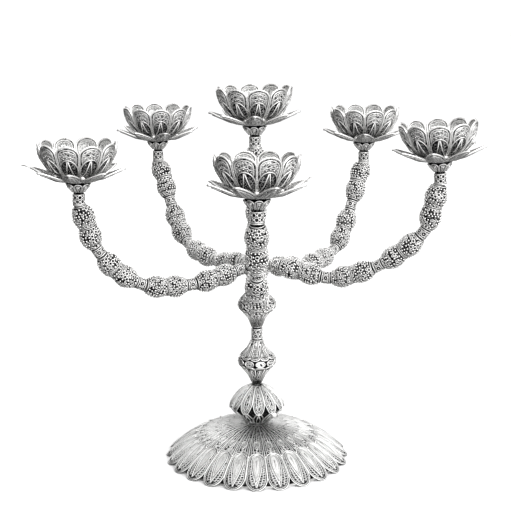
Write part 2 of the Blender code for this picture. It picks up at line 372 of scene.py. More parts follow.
def between(a, b, share, low, high, count):
    """A curve part of the way from path a to path b, over part of their length."""
    mixed = resample(a, count) * (1 - share) + resample(b, count) * share
    return mixed[int(low * count):int(math.ceil(high * count))]


def hoop(web, surface, y, width, height, h=0.0, count=40):
    """A wire all the way round at y."""
    x = np.linspace(0, TAU * float(surface.r(y)), count, endpoint=False)
    wire(web, surface, [0.0], np.stack([x, np.full(count, y)], 1), width, height, 5, True, h=h)


# ===== materials

def node(tree, kind, **settings):
    made = tree.nodes.new(kind)
    for key, value in settings.items():
        if key in made.inputs:
            made.inputs[key].default_value = value
        else:
            setattr(made, key, value)
    return made


def new_material(name):
    material = bpy.data.materials.new(name)
    material.use_nodes = True
    return material, material.node_tree, material.node_tree.nodes["Principled BSDF"]


def mix_colour(tree, share, low, high, shader):
    """The surface's colour: low where the share is 0, high where it is 1."""
    mix = node(tree, "ShaderNodeMix", data_type="RGBA")
    mix.inputs[6].default_value = (*low, 1.0)
    mix.inputs[7].default_value = (*high, 1.0)
    tree.links.new(share, mix.inputs[0])
    tree.links.new(mix.outputs[2], shader.inputs["Base Color"])


def math_node(tree, operation, *values):
    """A math node on up to three values. Each is a socket or a number."""
    made = node(tree, "ShaderNodeMath", operation=operation)
    for socket, value in zip(made.inputs, values):
        if isinstance(value, bpy.types.NodeSocket):
            tree.links.new(value, socket)
        else:
            socket.default_value = value
    return made.outputs[0]


def map_range(tree, value, low, high, to_low=0.0, to_high=1.0, interpolation_type="LINEAR"):
    made = node(tree, "ShaderNodeMapRange", interpolation_type=interpolation_type)
    for key, number in (("From Min", low), ("From Max", high), ("To Min", to_low), ("To Max", to_high)):
        made.inputs[key].default_value = number
    tree.links.new(value, made.inputs["Value"])
    return made.outputs[0]


def silver(name, bright, dark, worn, rough, beading=0.0, grain=0.25, cells=0.0, occlude=0.0, shadow=1.6):
    """Hand-worked silver: bright where it is rubbed, oxidised where it isn't.

    worn is the range of wear from dark to bright, and rough the roughness of bright and dark.
    beading is the length in mm of a bead along a wire, cells the scale of a granular pattern,
    and occlude how far in metres a hollow is darkened, by the power shadow: the oxide of the
    hollows, and painted shade as well.
    """
    material, tree, shader = new_material(name)
    link = tree.links.new
    shader.inputs["Metallic"].default_value = 1.0
    place = node(tree, "ShaderNodeTexCoord").outputs["Object"]
    polish = node(tree, "ShaderNodeAttribute", attribute_name="polish").outputs["Fac"]
    # wear in specks of about 1.4 mm and in patches of about 9 mm
    fine = node(tree, "ShaderNodeTexNoise", Scale=700.0, Detail=3.0)
    broad = node(tree, "ShaderNodeTexNoise", Scale=110.0, Detail=2.0)
    link(place, fine.inputs["Vector"])
    link(place, broad.inputs["Vector"])
    level = math_node(tree, "MULTIPLY_ADD", fine.outputs["Fac"], 0.55, polish)
    level = math_node(tree, "MULTIPLY_ADD", broad.outputs["Fac"], 0.9, level)
    height = fine.outputs["Fac"]
    if cells:
        cell = node(tree, "ShaderNodeTexVoronoi", feature="DISTANCE_TO_EDGE", Scale=cells)
        link(place, cell.inputs["Vector"])
        height = map_range(tree, cell.outputs["Distance"], 0.05, 0.22, 0.75, -0.6)
        level = math_node(tree, "ADD", level, height)
    if beading:
        run = node(tree, "ShaderNodeAttribute", attribute_name="run").outputs["Fac"]
        wave = math_node(tree, "SINE", math_node(tree, "MULTIPLY", run, TAU / beading))
        height = math_node(tree, "ADD", wave, height)
    shine = map_range(tree, level, *worn, interpolation_type="SMOOTHSTEP")
    # hollows turn to the oxide colour: their oxide, and painted shade where less light reaches
    if occlude:
        hollow = node(tree, "ShaderNodeAmbientOcclusion", samples=6)
        hollow.inputs["Distance"].default_value = occlude
        open_share = math_node(tree, "POWER", hollow.outputs["AO"], shadow)
        shine = math_node(tree, "MULTIPLY", shine, open_share)
    mix_colour(tree, shine, dark, bright, shader)
    link(map_range(tree, shine, 0.0, 1.0, rough[1], rough[0]), shader.inputs["Roughness"])
    bump = node(tree, "ShaderNodeBump", Strength=grain, Distance=0.00012)
    link(height, bump.inputs["Height"])
    link(bump.outputs[0], shader.inputs["Normal"])
    return material


OXIDE = (0.010, 0.010, 0.011)
CELLS = 410.0  # cells to the metre, about
wire_silver = silver("drawn_silver_wire", (0.95, 0.945, 0.935), OXIDE, (0.45, 1.0), (0.22, 0.5),
                     beading=0.9, grain=0.3, occlude=0.0016, shadow=0.6)
infill_silver = silver("filigree_infill", (0.88, 0.88, 0.87), OXIDE, (0.7, 1.4), (0.34, 0.6),
                       grain=0.6, cells=CELLS, occlude=0.003)
grain_silver = silver("silver_grain", (0.97, 0.965, 0.955), (0.3, 0.3, 0.3), (0.6, 1.2), (0.14, 0.35),
                      grain=0.1)
plain_silver = silver("plain_silver", (0.66, 0.66, 0.65), (0.12, 0.12, 0.12), (0.2, 0.9), (0.3, 0.55),
                      grain=0.3)
# a brighter copy of the infill: painted light on the pans' leaves
leaf_infill_painted_light = silver("leaf_infill_painted_light", (0.97, 0.97, 0.96), OXIDE, (0.62, 1.2), (0.3, 0.6),
                     grain=0.9, cells=CELLS, occlude=0.003, shadow=0.8)
soft_wire = silver("rubbed_wire", (0.9, 0.9, 0.89), OXIDE, (0.35, 0.95), (0.34, 0.55),
                   beading=0.9, grain=0.3, occlude=0.0016, shadow=0.5)
soft_infill = silver("rubbed_infill", (0.8, 0.8, 0.79), OXIDE, (0.42, 1.2), (0.48, 0.62),
                     grain=0.6, cells=CELLS, occlude=0.003, shadow=1.2)
MATERIALS = (wire_silver, infill_silver, grain_silver)
LEAF_PAINTED_LIGHT_MATERIALS = (wire_silver, leaf_infill_painted_light, grain_silver)  # brighter metal on the pans' leaves: painted light for their undersides, which face the dim lower side of the tent
SOFT_MATERIALS = (soft_wire, soft_infill, grain_silver)  # the knop and the dome shine more softly


# ===== pieces

def piece(name, web, body, node_name, matrix=None, materials=MATERIALS):
    """Makes the object of a web. It rides on the body and replaces the CAD node."""
    mesh = web.mesh(name, materials)
    if matrix is not None:
        mesh.transform(matrix)
    made = bpy.data.objects.new(name, mesh)
    bpy.context.scene.collection.objects.link(made)
    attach(made, body)
    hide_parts(node_name)


# azimuth in degrees, height of the flower, and the arm's line as (distance from the axis, height)
ARMS = {
    "front": (270.0, 235.3, ((10.9, 156.1), (33.4, 150.7), (56.9, 147.3), (88.9, 149.6),
                             (113.3, 163.6), (128.8, 183.8), (134.9, 202.3))),
    "left": (203.2, 232.0, ((10.9, 156.1), (33.4, 150.7), (56.9, 147.3), (88.9, 149.9),
                            (113.0, 164.0), (128.6, 183.4), (134.5, 200.2))),
    "back_left": (127.1, 239.9, ((10.9, 157.2), (23.5, 155.6), (53.6, 151.0), (93.9, 157.7),
                                 (110.1, 172.8), (123.6, 193.3), (131.0, 208.9))),
    "back_right": (49.5, 239.9, ((10.9, 156.2), (33.4, 150.6), (69.5, 146.6), (99.4, 153.2),
                                 (113.5, 169.9), (126.4, 193.9), (132.7, 208.9))),
    "right": (-14.9, 244.0, ((10.9, 160.2), (34.9, 154.8), (59.8, 151.1), (90.3, 160.5),
                             (113.4, 175.5), (129.9, 192.7), (135.0, 210.3))),
}
ARM_HEAD = ((138.7, -20.1), (139.5, -17.0))  # its last two points, below the flower
ARM_R, NECK_LENGTH = 140.0, 16.2
CENTRE_FOOT, CENTRE_TOP, CENTRE_SHIFT = 166.3, 266.5, -1.4
LINKS = ((8.5, 33.0), (8.5, 33.5), (9.0, 34.5), (8.5, 34.5))  # collar and bead, from the hub
CENTRE_LINKS = ((8.0, 34.0), (8.0, 33.2))
LEAN = {"front": 3.6, "right": 4.2, "centre": 1.0}  # degrees, as the turns below
PETAL_TURN = {"front": 18, "left": 29, "back_left": 10, "back_right": 13, "right": -7, "centre": 7}
LEAF_TURN = {"front": 22, "left": 42, "back_left": 15, "back_right": 40, "right": 30, "centre": 0}


# ----- candle cup

CUP = Turned(((12.5, 6.0), (16.5, 7.2), (19.6, 9.6), (22.7, 13.4), (25.2, 18.0), (27.2, 23.0),
              (28.0, 29.3)))
CUP_PETALS = 10


def cup_web(seed):
    rnd = np.random.default_rng(seed)
    web = Web()
    tall = CUP.length
    ys = tall - 6.5  # where the round heads of the petals begin
    arch_top, arch_side, arch_inset = 20.6, 12.5, 1.0
    apex, leg = arch_top - 0.9, 3.2

    def half(y):
        return CUP.r(y) * math.pi / CUP_PETALS - 0.02

    def lift(x, y):
        wide = np.maximum(half(y), 1.0)
        fade = np.clip(y / 6, 0, 1) * (1 - 0.75 * np.clip((y - ys) / (tall - ys), 0, 1))
        return 1.15 * np.clip(1 - (x / wide) ** 2, -0.2, 1) * fade

    places = turns(CUP_PETALS) + rnd.normal(0, 0.008, CUP_PETALS)
    laid = dict(lift=lift, both=True)
    inner = petal(half, 15.5, ys, tall, 2.3, 4, 19)
    arch_to = (arch_top + arch_inset, arch_inset)
    arch = petal(half, 0.8, arch_side, *arch_to, 6, 17)
    wire(web, CUP, places, petal(half, 0.6, ys, tall, 0.5, 9, 21), 0.66, 0.85, 6, **laid)
    wire(web, CUP, places, inner, 0.44, 0.65, 5, **laid)
    wire(web, CUP, places, arch, 0.5, 0.8, 5, **laid)
    for s in (-1, 1):  # the two sides of each petal, here and below
        limb = line((0.3 * s, apex), (1.9 * s, apex * 0.5), (leg * s, 3.5), (2.6 * s, 1.0))
        wire(web, CUP, places, limb, 0.55, 0.9, 5, **laid)
    # scrollwork above the arch
    crown = resample(petal(half, arch_side, arch_side + 0.01, *arch_to, 2, 21), 60)
    for share, low, high, pitch in ((0.3, 0.22, 0.78, 2.3), (0.7, 0.12, 0.88, 2.0)):
        guide = between(crown, inner, share, low, high, 60)
        wire(web, CUP, places, coil(guide, pitch, 0.95), 0.27, 0.55, 3, **laid)
    spots = [(0.0, arch_top + 2.0), (2.4, arch_top + 1.0), (-2.4, arch_top + 1.0)]
    grains(web, CUP, places, spots, 0.55, lift, h=0.4)
    # loops beside the legs and a zigzag between them
    for s in (-1, 1):
        y = np.linspace(2.0, apex - 2.5, 12)
        limb = np.stack([s * (0.3 + (leg - 0.3) * (apex - y) / (apex - 1.0)), y], 1)
        rim = np.stack([s * petal_half(half, arch_side, *arch_to)(y), y], 1)
        wire(web, CUP, places, coil(0.45 * rim[2:] + 0.55 * limb[2:], 2.3, 0.85), 0.2, 0.4, 3, h=-0.2,
             **laid)
    left, right = (line((s * (leg - 0.8), 1.2), (s * 0.2, apex - 6)) for s in (-1, 1))
    wire(web, CUP, places, zigzag(left, right, 6), 0.22, 0.4, 3, h=-0.1, **laid)
    sheet(web, CUP, places, petal_half(half, ys, tall, 0.9), 0.6, tall - 0.95, 7, 13, 0.2, lift,
          polish=(lambda x, y: np.where(y < arch_top, -0.5, 0.3), 0.9))
    # floor, foot ring and the short tube that stands on the pan
    floor = Turned(((3.7, 6.2), (12.4, 6.1)), smooth=False)
    liner(web, floor, 0.0, floor.length, 0.0, 0.5, 30, 3, 0.35)
    for y in (2.2, 4.4, 6.6, 8.4):
        hoop(web, floor, y, 0.3, 0.5)
    foot = Turned(((3.8, 1.6), (3.8, 6.6)), smooth=False)
    liner(web, foot, 0.0, foot.length, -0.2, 0.5, 18, 3, 0.3)
    for y in (0.5, 2.5, 4.5):
        hoop(web, foot, y, 0.35, 0.35, h=0.2, count=20)
    hoop(web, CUP, 0.4, 0.6, 0.6)
    return web


# ----- drip pan

PAN = Turned(((4.0, 0.95), (9.0, 0.95), (17.5, 2.4), (21.0, 3.7), (25.0, 5.5), (29.0, 7.3),
              (35.0, 10.3)))
LEAVES = 8


def pan_web(seed, tip=None):
    rnd = np.random.default_rng(seed)
    web = Web()
    tall = PAN.length
    wide_y = float(PAN.y_at_r(18.5))
    foot_y = float(PAN.y_at_r(8.4))

    def half(y):
        side = PAN.r(np.minimum(y, wide_y)) * math.pi / LEAVES - 0.05
        beyond = np.clip((y - wide_y) / (tall - wide_y), 0, 1)
        return side * np.clip(1 - beyond ** 2.1, 0, 1) ** 0.8

    def lift(x, y):
        wide = np.maximum(half(y), 0.8)
        rise = np.clip((y - foot_y) / 6.0, 0, 1)
        return -1.3 * np.clip(x / wide, -1, 1) ** 2 * rise

    def outline(inset, end):
        y = np.concatenate([np.linspace(foot_y, wide_y, 7)[:-1],
                            wide_y + (end - wide_y) * np.sin(np.linspace(0, math.pi / 2, 10))])
        x = np.maximum(half(y + inset * 0.9) - inset, 0.0)
        x[-1] = 0.0
        left = np.stack([-x, y], 1)
        return np.vstack([left, (left * (-1, 1))[::-1][1:]])

    places = turns(LEAVES) + rnd.normal(0, 0.012, LEAVES)
    laid = dict(lift=lift, both=True)
    wire(web, PAN, places, outline(0.4, tall - 0.3), 0.72, 0.85, 6, **laid)
    wire(web, PAN, places, outline(2.1, tall - 3.4), 0.48, 0.72, 5, **laid)
    wire(web, PAN, places, line((0.0, foot_y), (0.0, wide_y), (0.0, tall - 5)), 0.42, 0.62, 5, **laid)
    for s in (-1, 1):
        for share, width in ((0.3, 0.95), (0.68, 0.9)):
            y = np.linspace(foot_y + 1.5, tall - 4.5 - 7.0 * share, 12)
            x = s * share * np.maximum(half(y) - 1.2, 0.2)
            wire(web, PAN, places, coil(np.stack([x, y], 1), 2.3, width), 0.34, 0.62, 3, **laid)
    sheet(web, PAN, places, lambda y: np.maximum(half(y) - 0.5, 0.05), foot_y - 0.5, tall - 1.2, 7, 12,
          0.2, lift, polish=(0.5, 0.6))
    middle = Turned(((2.6, 0.95), (9.0, 0.95)), smooth=False)
    liner(web, middle, 0.0, middle.length, 0.0, 0.5, 28, 3, 0.3)
    for y in (1.0, 3.2, 5.6):
        hoop(web, middle, y, 0.35, 0.5)
    gaps = turns(LEAVES, math.pi / LEAVES)
    for r, radius, h, level in ((16.3, 2.15, -3.0, 2), (12.0, 1.0, -1.4, 1)):
        grains(web, PAN, gaps, [(0.0, float(PAN.y_at_r(r)))], radius, h=h, level=level)
    # handwork on one leaf: a bent wire or an open loop
    if tip == "wire":
        bent = rounded(line((0, tall - 2.0), (0.6, tall + 2.0), (2.4, tall + 4.5), (5.2, tall + 5.6)), 5)
        wire(web, PAN, turns(1, 3 * math.pi / 4), bent, 0.6, 0.6, 6)
    elif tip == "loop":
        wire(web, PAN, [0.0], ring(tall + 1.7, 2.1, 16, 2.4), 0.55, 0.6, 6, True)
    return web


# ----- calyx and neck

CALYX = Turned(((4.4, -7.2), (5.4, -5.7), (7.0, -3.9), (8.3, -2.0), (8.9, -0.35)))
NECK = Turned(((4.3, -17.0), (4.3, -7.2)), smooth=False)


def calyx_web():
    """Eight small petals, and the neck below them."""
    web = Web()
    count = 8
    tall = CALYX.length

    def half(y):
        return CALYX.r(y) * math.pi / count - 0.03

    places = turns(count, math.radians(270))
    for inset, width in ((0.4, 0.5), (1.9, 0.4)):
        wire(web, CALYX, places, petal(half, 0.5, tall - 2.4, tall, inset, 5, 13), width, width * 1.3, 5)
    grains(web, CALYX, places, [(0.0, tall - 3.2)], 0.7, h=0.2, level=1)
    sheet(web, CALYX, places, petal_half(half, tall - 2.4, tall, 0.6), 0.2, tall - 0.7, 5, 7, 0.2,
          h=-0.35, polish=-0.2)
    liner(web, CALYX, 0.0, tall, -0.9, 0.3, 24, 5, -0.9)
    # neck: two rows of rings between hoops
    deep = NECK.length
    liner(web, NECK, 0.0, deep, -0.75, 0.3, 18, 3, -0.4)
    for y in (0.5, 1.5, deep - 1.6):
        hoop(web, NECK, y, 0.45, 0.6, count=26)
    for row, y in enumerate((3.3, 6.3)):
        spots = turns(7, row * math.pi / 7)
        wire(web, NECK, spots, ring(y, 1.45, 12), 0.38, 0.46, 4, True)
        grains(web, NECK, spots + math.pi / 7, [(0.0, y)], 0.62, h=0.1)
    return web


# ----- collar and double bead

COLLAR = 8.5
BEAD = 34.0
BEAD_HALF = ((0.0, 4.4), (0.9, 5.1), (3.4, 6.45), (6.4, 7.55), (9.3, 7.9), (12.2, 7.5), (15.0, 6.7),
             (17.0, 6.45))  # height and radius of one of its two bulges
LINK = Turned([(4.3, 0.3), (4.3, 4.0), (4.3, 8.0)] + [(r, COLLAR + z) for z, r in BEAD_HALF]
              + [(r, COLLAR + BEAD - z) for z, r in BEAD_HALF[-2::-1]])
SCROLL = 1.18  # size of the beads' scrolls


def scroll_field(web, surface, low, high, size, rnd):
    """Uneven rows of loops, small scrolls and grains."""
    rows = max(int(round((high - low) / (1.8 * size))), 1)
    for row in range(rows):
        y = low + (high - low) * (row + 0.5) / rows
        count = max(int(round(TAU * float(surface.r(y)) / (2.1 * size))), 6)
        places = turns(count, rnd.uniform(0, 6)) + rnd.normal(0, 0.16 / count, count)
        kind = rnd.integers(0, 4, count)
        small, wide, curl, dots = (places[kind == k] for k in range(4))
        shift = rnd.normal(0, 0.25 * size, 4)
        grains(web, surface, small, [(0.0, y + shift[0])], size * 0.62, h=0.25, level=1)
        wire(web, surface, wide, ring(y + shift[1], size * 1.08, 10, size), 0.4, 0.6, 4, True, h=0.1)
        scroll = spiral(y + shift[2], size * 1.15, 1.2, rnd.uniform(0, 6), 11)
        wire(web, surface, curl, scroll, 0.36, 0.55, 4, h=0.1)
        grains(web, surface, dots, [(0.0, y + shift[3])], size * 0.68, h=0.2, level=1)


def link_web(seed):
    """A collar and its double bead, straight along +Z, to be bent along the arm."""
    rnd = np.random.default_rng(seed)
    web = Web()
    height = LINK.line[:, 1]

    def at(z):
        return float(np.interp(z, height, LINK.y))

    liner(web, LINK, 0.2, LINK.length - 0.2, -0.7, 0.3, 18, 26, -0.45)
    cap = Turned(((0.3, COLLAR + BEAD - 0.3), (4.5, COLLAR + BEAD - 0.3)), flip=True, smooth=False)
    liner(web, cap, 0.0, cap.length, 0.0, 0.3, 18, 2, -0.3)
    for z in (1.2, 7.2):
        hoop(web, LINK, at(z), 0.5, 0.6, count=26)
    spots = turns(6, rnd.uniform(0, 1))
    wire(web, LINK, spots, ring(at(4.2), 1.9, 14), 0.42, 0.55, 4, True)
    grains(web, LINK, spots, [(0.0, at(4.2))], 0.6, h=0.1)
    grains(web, LINK, spots + math.pi / 6, [(0.0, at(2.6)), (0.0, at(5.8))], 0.62, h=0.15)
    mid = COLLAR + BEAD / 2
    for z in (COLLAR + 0.6, COLLAR + BEAD - 0.5):
        hoop(web, LINK, at(z), 0.42, 0.55, count=28)
    for z in (mid - 0.62, mid + 0.62):
        hoop(web, LINK, at(z), 0.36, 0.55, count=36)
    scroll_field(web, LINK, at(COLLAR + 1.1), at(mid - 1.0), SCROLL, rnd)
    scroll_field(web, LINK, at(mid + 1.0), at(COLLAR + BEAD - 1.1), SCROLL, rnd)
    return web


def lay_links(prefix, points, links, side, first_seed):
    """Bends one straight link after another along the curve through the points."""
    curve = rounded(np.array(points, float), 12)
    marks = marks_along(curve)
    along = unit(np.gradient(curve, axis=0))
    scale = marks[-1] / sum(collar + bead for collar, bead in links)
    start = 0.0
    side = np.array(side, float)
    for number, (collar, bead) in zip(range(len(links), 0, -1), links):
        span = (collar + bead) * scale
        straight = link_web(first_seed + number)

        def bend(p, start=start, span=span):
            s = start + (0.12 + p[:, 2] / (COLLAR + BEAD) * (span - 0.3))
            across = np.cross(side, unit(sample(along, marks, s)))
            return sample(curve, marks, s) + p[:, :1] * side + p[:, 1:2] * across

        name = f"{prefix}_bead_{number}"
        piece("filigree_" + name, straight.copy_mapped(bend), "frame", name)
        start += span


# ----- stem ornaments

STEM_PETALS = 10
STEM_PHASE = math.radians(263.5)


def stem_half(surface):
    return lambda y: surface.r(y) * math.pi / STEM_PETALS - 0.02


def cone_web(profile, flip):
    """Fluted petals from the narrow end of the profile. Below a belt they end in arches."""
    web = Web()
    surface = Turned(profile, flip=flip)
    tall = surface.length
    half = stem_half(surface)

    def lift(x, y):
        return 0.06 * surface.r(y) * (np.clip(1 - (x / np.maximum(half(y), 0.3)) ** 2, -1, 1) - 0.6)

    places = turns(STEM_PETALS, STEM_PHASE)
    gaps = places + math.pi / STEM_PETALS
    laid = dict(lift=lift)
    rib = line((0, 0.2), (0, tall / 2), (0, tall))
    if flip:
        wire(web, surface, gaps, rib, 0.48, 0.6, 5)
        y = np.linspace(tall * 0.3, tall, 8)
        for s in (-1, 1):
            wire(web, surface, places, np.stack([s * (half(y) - 1.25), y], 1), 0.3, 0.45, 4, **laid)
        row = coil(line((0, tall * 0.3), (0, tall - 0.8)), 1.9, 0.62)
        wire(web, surface, places, row, 0.24, 0.42, 3, **laid)
    else:
        wire(web, surface, places, rib, 0.48, 0.6, 5)
        places = gaps
        ys = tall - 4.0
        wire(web, surface, places, petal(half, tall * 0.3, ys, tall, 1.3, 8, 11), 0.34, 0.5, 4, **laid)
        for s in (-1, 1):
            leg = line((0.2 * s, tall - 2.4), (0.8 * s, tall * 0.5), (0.35 * s, 0.5))
            wire(web, surface, places, leg, 0.38, 0.55, 4, **laid)
    sheet(web, surface, places, lambda y: half(y) - 0.05, 0.0, tall, 5, 9, 0.3, lift, h=-0.3,
          polish=0.75 if flip else 0.3)
    liner(web, surface, 0.0, tall, -1.3, 0.3, 24, 5, -0.5)
    hoop(web, surface, 0.3, 0.45, 0.5, count=26)
    return web


def belt_web(profile):
    """The rounded ends of the upper petals, then a row of oval links with openings between them."""
    web = Web()
    surface = Turned(profile, flip=True)
    tall = surface.length
    half = stem_half(surface)
    places = turns(STEM_PETALS, STEM_PHASE)
    links = places + math.pi / STEM_PETALS
    end, y = 0.25 * tall, 0.5 * tall
    wire(web, surface, places, petal(half, 0.0, 0.3, end, 0.2, 3, 15), 0.5, 0.65, 5)
    wire(web, surface, places, petal(half, 0.0, 0.2, end - 0.2, 1.3, 3, 11), 0.3, 0.45, 4)
    sheet(web, surface, places, petal_half(half, 0.3, end, 0.4), 0.0, end - 0.5, 5, 6, 0.3, h=-0.3,
          polish=0.4)
    wide, high = float(half(y)) * 0.8, 2.1
    wire(web, surface, links, ring(y, wide, 20, high), 0.5, 0.7, 5, True)
    sheet(web, surface, links, lambda v: wide * np.sqrt(np.clip(1 - ((v - y) / high) ** 2, 0, 1)),
          y - high + 0.05, y + high - 0.05, 5, 7, 0.3, polish=0.5)
    for inset, width in ((0.2, 0.5), (1.3, 0.3)):
        arch = petal(lambda v: half(tall - v), 0.0, 0.3, end, inset, 3, 15) * (1, -1) + (0, tall)
        wire(web, surface, links, arch, width, width * 1.3, 5)
    liner(web, surface, 0.0, tall, -1.3, 0.3, 30, 6, -0.9)
    return web


HUB_R, HUB_Z = 10.0, 155.8
KNOP_PETALS = 12
KNOP_PHASE = math.radians(274.4)


def knop_web(profile, upper):
    """The cap's petals hang down, filled with drops. The bowl's stand up and are open."""
    web = Web()
    surface = Turned(profile, flip=upper)
    tall = surface.length

    def half(y):
        return surface.r(y) * math.pi / KNOP_PETALS - 0.03

    def lift(x, y):
        return 0.5 * (np.clip(1 - (x / np.maximum(half(y), 0.3)) ** 2, -1, 1))

    laid = dict(lift=lift)
    places = turns(KNOP_PETALS, KNOP_PHASE)
    if upper:
        ys, top = tall - 8.5, tall + 0.6
        wire(web, surface, places, petal(half, 0.2, ys, top, 0.25, 10, 17), 0.45, 0.65, 5, **laid)
        inner = petal(half, tall * 0.1, ys - 0.3, top - 0.3, 1.4, 9, 13)
        wire(web, surface, places, inner, 0.26, 0.42, 4, **laid)
        inner = drop(tall * 0.62, 2.4, tall * 0.27, False, 22, 0.7)
        wire(web, surface, places, inner, 0.36, 0.55, 5, True, **laid)
        wire(web, surface, places, line((0.0, tall * 0.5), (0.0, tall * 0.84)), 0.3, 0.45, 4, **laid)
        for s in (-1, 1):
            y = np.linspace(tall * 0.12, tall * 0.42, 8)
            x = s * (half(y) - 1.5) * 0.5
            wire(web, surface, places, np.stack([x, y], 1), 0.26, 0.42, 4, **laid)
        sheet(web, surface, places, petal_half(half, ys, top, 0.5), 0.1, top - 0.55, 7, 12, 0.25,
              h=-0.25, polish=-0.35, **laid)
    else:
        ys = tall - 9.0
        wire(web, surface, places, petal(half, 0.2, ys, tall + 0.2, 0.25, 9, 15), 0.42, 0.6, 5, **laid)
        for s in (-1, 1):
            leg = line((0.25 * s, tall - 2.8), (1.5 * s, tall * 0.5), (0.9 * s, 0.8))
            wire(web, surface, places, leg, 0.35, 0.5, 5, **laid)
        # the one large grain on the right
        grains(web, surface, [math.radians(309.0)], [(0.0, tall - 2.0)], 2.4, h=1.6, level=2)
    liner(web, surface, 0.0, tall, -1.4, 0.3, 36, 8, -0.9)
    hoop(web, surface, 0.3, 0.3, 0.3, count=30)
    return web


def hub_web():
    """A ball between 66 degrees below and above its middle."""
    web = Web()
    rnd = np.random.default_rng(31)
    turn = np.radians(-66 + 132 * np.arange(15) / 14)
    surface = Turned(np.stack([HUB_R * np.cos(turn), HUB_Z + HUB_R * np.sin(turn)], 1))
    tall = surface.length
    liner(web, surface, 0.0, tall, -0.8, 0.3, 30, 14, -0.4)
    for share in (0.04, 0.5, 0.96):
        hoop(web, surface, tall * share, 0.45, 0.6)
    scroll_field(web, surface, tall * 0.07, tall * 0.47, 1.1, rnd)
    scroll_field(web, surface, tall * 0.53, tall * 0.93, 1.1, rnd)
    return web


def ring_web(radius, top, bottom, rows):
    """Ferrule or collar: a short tube of rings and loops."""
    web = Web()
    surface = Turned(((radius - 0.1, bottom + 0.1), (radius - 0.1, top - 0.1)), smooth=False)
    tall = surface.length
    liner(web, surface, 0.0, tall, -0.75, 0.3, 20, 3, -0.7)
    for y in (0.95, tall - 0.95):
        hoop(web, surface, y, 0.42, 0.7, count=26)
    for row in range(rows):
        y = 1.2 + (tall - 2.4) * (row + 0.5) / rows
        size = (tall - 2.4) / rows / 2 - 0.15
        spots = turns(7, row * math.pi / 7)
        wire(web, surface, spots, ring(y, min(size, 1.6), 14, size), 0.38, 0.45, 4, True)
        grains(web, surface, spots, [(0.0, y)], 0.5)
    return web


# ----- base dome

DOME_TALL, DOME_R = 28.5, 73.1
DOME = Turned([(r, DOME_TALL * (1 - (r / DOME_R) ** 2.5)) for r in
               (7.5, 14, 21, 28, 35, 42, 48, 54, 59, 64, 68, 71, 72.9)], flip=True)
SCALLOPS = 24
DROP_WIDE, DROP_POWER = 5.3, 1.05  # the drop in each scallop
RAYS = ((0.0, 0.38, 13, 33), (0.42, 0.38, 26, 45), (-0.45, 0.34, 24, 44), (0.75, 0.3, 34, 48),
        (-0.73, 0.32, 31, 47), (1.0, 0.45, 7.8, 52))  # share of the half width, width, radii


def dome_half(y):
    return DOME.r(y) * math.pi / SCALLOPS - 0.02


def at_r(r):
    return float(DOME.y_at_r(r))


def dome_lift(x, y):
    """Each scallop bows up, more so towards the rim."""
    bow = np.clip(1 - (x / np.maximum(dome_half(y), 0.3)) ** 2, -1, 1)
    return 0.75 * bow * np.clip((y - at_r(38)) / 16.0, 0, 1) - 0.75


